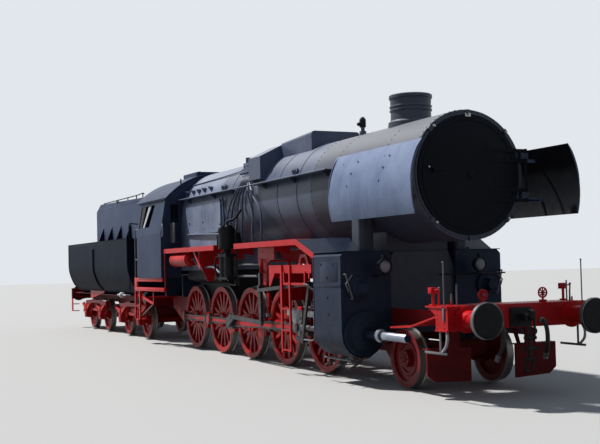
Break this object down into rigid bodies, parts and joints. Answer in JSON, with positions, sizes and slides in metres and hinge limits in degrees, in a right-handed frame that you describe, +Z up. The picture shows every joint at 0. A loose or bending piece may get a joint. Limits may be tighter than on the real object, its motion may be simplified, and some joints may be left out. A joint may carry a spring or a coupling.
{
  "type": "steam locomotive",
  "caption": "Large goods steam locomotive with coupled wheels, rods, a leading truck, smoke deflectors and a trough-shaped bogie tender hinged behind the cab.",
  "frame": {"origin": "on the track's centre line midway between the buffer faces, at the height of the wheel flanges' lowest points", "axes": "+X forward along the locomotive, +Y to its left-hand side, +Z up"},
  "size_m": [23, 3, 4.528],
  "materials": {
    "red_paint": "semi-gloss",
    "wheel_red": "semi-gloss",
    "boiler_black": "satin",
    "frame_black": "satin",
    "cab_black": "satin",
    "tender_black": "satin",
    "rod_steel": "oiled",
    "lamp_black": "gloss"
  },
  "bodies": {
    "engine": {"air_pump": "frame_black", "air_reservoirs": "red_paint", "ash_pan": "frame_black", "axleboxes": "red_paint", "boiler_barrel": "boiler_black", "boiler_fittings": "boiler_black", "brake_gear": "red_paint", "cab_floor": "cab_black", "cab_front": "cab_black", "cab_rear": "cab_black", "cab_roof": "cab_black", "cab_sides": "cab_black", "cab_steps": "red_paint", "chimney": "boiler_black", "cylinders": "frame_black", "dome_casing": "boiler_black", "firebox": "boiler_black", "front_beam": "red_paint", "front_buffers": "red_paint", "front_drawgear": "frame_black", "handrails": "boiler_black", "headlamps": "lamp_black", "main_frame": "red_paint", "motion_brackets": "red_paint", "running_boards": "red_paint", "sand_pipes": "boiler_black", "slide_bars": "rod_steel", "smoke_deflectors": "frame_black", "smokebox": "boiler_black", "smokebox_saddle": "frame_black", "valve_gear": "rod_steel"},
    "tender": {"coal_bunker": "tender_black", "tender_drawgear": "red_paint", "tender_fittings": "tender_black", "tender_frame": "red_paint", "tender_tank": "tender_black"},
    "smokebox_door": {"smokebox_door": "boiler_black"},
    "leading_truck": {"leading_truck": "red_paint"},
    "leading_wheels": {"leading_wheelset": "wheel_red"},
    "tank_hatch_lid": {"tank_hatch_lid": "tender_black"},
    "driver_1": {"driver_wheelset_1": "wheel_red"},
    "driver_2": {"driver_wheelset_2": "wheel_red"},
    "driver_3": {"driver_wheelset_3": "wheel_red"},
    "driver_4": {"driver_wheelset_4": "wheel_red"},
    "driver_5": {"driver_wheelset_5": "wheel_red"},
    "side_rods_left": {"coupling_rods_left": "rod_steel"},
    "main_rod_left": {"main_rod_left": "rod_steel"},
    "crosshead_left": {"crosshead_left": "rod_steel"},
    "side_rods_right": {"coupling_rods_right": "rod_steel"},
    "main_rod_right": {"main_rod_right": "rod_steel"},
    "crosshead_right": {"crosshead_right": "rod_steel"},
    "bogie_front": {"tender_bogie_front": "red_paint"},
    "bogie_rear": {"tender_bogie_rear": "red_paint"},
    "tender_wheels_1": {"tender_wheelset_1": "wheel_red"},
    "tender_wheels_2": {"tender_wheelset_2": "wheel_red"},
    "tender_wheels_3": {"tender_wheelset_3": "wheel_red"},
    "tender_wheels_4": {"tender_wheelset_4": "wheel_red"}
  },
  "joints": [
    {"name": "driver_1_spin", "type": "hinge", "parent": "engine", "child": "driver_1", "pos_m": [6.725, 0, 0.728], "axis": [0, 1, 0], "continuous": true},
    {"name": "driver_2_spin", "type": "hinge", "parent": "engine", "child": "driver_2", "pos_m": [5.075, 0, 0.728], "axis": [0, 1, 0], "continuous": true},
    {"name": "driver_3_spin", "type": "hinge", "parent": "engine", "child": "driver_3", "pos_m": [3.425, 0, 0.728], "axis": [0, 1, 0], "continuous": true},
    {"name": "driver_4_spin", "type": "hinge", "parent": "engine", "child": "driver_4", "pos_m": [1.775, 0, 0.728], "axis": [0, 1, 0], "continuous": true},
    {"name": "driver_5_spin", "type": "hinge", "parent": "engine", "child": "driver_5", "pos_m": [0.125, 0, 0.728], "axis": [0, 1, 0], "continuous": true},
    {"name": "side_rods_left_pin", "type": "hinge", "parent": "driver_3", "child": "side_rods_left", "pos_m": [3.425, 0.965, 0.398], "axis": [0, 1, 0], "continuous": true},
    {"name": "side_rods_right_pin", "type": "hinge", "parent": "driver_3", "child": "side_rods_right", "pos_m": [3.095, -0.965, 0.728], "axis": [0, 1, 0], "continuous": true},
    {"name": "crosshead_left_slide", "type": "slide", "parent": "engine", "child": "crosshead_left", "axis": [1, 0, 0], "range_m": [-0.3069, 0.3531]},
    {"name": "main_rod_left_swing", "type": "hinge", "parent": "crosshead_left", "child": "main_rod_left", "pos_m": [6.62633, 1.1, 0.788], "axis": [0, 1, 0], "range_deg": [0, 11.75]},
    {"name": "crosshead_right_slide", "type": "slide", "parent": "engine", "child": "crosshead_right", "axis": [1, 0, 0], "range_m": [0, 0.66]},
    {"name": "main_rod_right_swing", "type": "hinge", "parent": "crosshead_right", "child": "main_rod_right", "pos_m": [6.31944, -1.1, 0.788], "axis": [0, 1, 0], "range_deg": [-5.88, 5.87]},
    {"name": "leading_truck_swivel", "type": "hinge", "parent": "engine", "child": "leading_truck", "pos_m": [7.15, 0, 0.528], "axis": [0, 0, 1], "range_deg": [-2.5, 2.5]},
    {"name": "leading_wheels_spin", "type": "hinge", "parent": "leading_truck", "child": "leading_wheels", "pos_m": [9.325, 0, 0.453], "axis": [0, 1, 0], "continuous": true},
    {"name": "smokebox_door_hinge", "type": "hinge", "parent": "engine", "child": "smokebox_door", "pos_m": [9.94, 1, 3.111], "axis": [0, 0, 1], "range_deg": [0, 95]},
    {"name": "tender_drawbar", "type": "hinge", "parent": "engine", "child": "tender", "pos_m": [-2.5, 0, 1.013], "axis": [0, 0, 1], "range_deg": [-5, 5]},
    {"name": "bogie_front_swivel", "type": "hinge", "parent": "tender", "child": "bogie_front", "pos_m": [-4.675, 0, 0.813], "axis": [0, 0, 1], "range_deg": [-5, 5]},
    {"name": "bogie_rear_swivel", "type": "hinge", "parent": "tender", "child": "bogie_rear", "pos_m": [-8.775, 0, 0.813], "axis": [0, 0, 1], "range_deg": [-5, 5]},
    {"name": "tender_wheels_1_spin", "type": "hinge", "parent": "bogie_front", "child": "tender_wheels_1", "pos_m": [-3.775, 0, 0.493], "axis": [0, 1, 0], "continuous": true},
    {"name": "tender_wheels_2_spin", "type": "hinge", "parent": "bogie_front", "child": "tender_wheels_2", "pos_m": [-5.575, 0, 0.493], "axis": [0, 1, 0], "continuous": true},
    {"name": "tender_wheels_3_spin", "type": "hinge", "parent": "bogie_rear", "child": "tender_wheels_3", "pos_m": [-7.875, 0, 0.493], "axis": [0, 1, 0], "continuous": true},
    {"name": "tender_wheels_4_spin", "type": "hinge", "parent": "bogie_rear", "child": "tender_wheels_4", "pos_m": [-9.675, 0, 0.493], "axis": [0, 1, 0], "continuous": true},
    {"name": "tank_hatch_hinge", "type": "hinge", "parent": "tender", "child": "tank_hatch_lid", "pos_m": [-9.78, 0, 2.794], "axis": [0, -1, 0], "range_deg": [0, 100]}
  ],
  "couplings": [
    {"joint": "driver_1_spin", "follows": "driver_3_spin", "ratio": 1},
    {"joint": "driver_2_spin", "follows": "driver_3_spin", "ratio": 1},
    {"joint": "driver_4_spin", "follows": "driver_3_spin", "ratio": 1},
    {"joint": "driver_5_spin", "follows": "driver_3_spin", "ratio": 1},
    {"joint": "side_rods_left_pin", "follows": "driver_3_spin", "ratio": -1},
    {"joint": "side_rods_right_pin", "follows": "driver_3_spin", "ratio": -1}
  ]
}
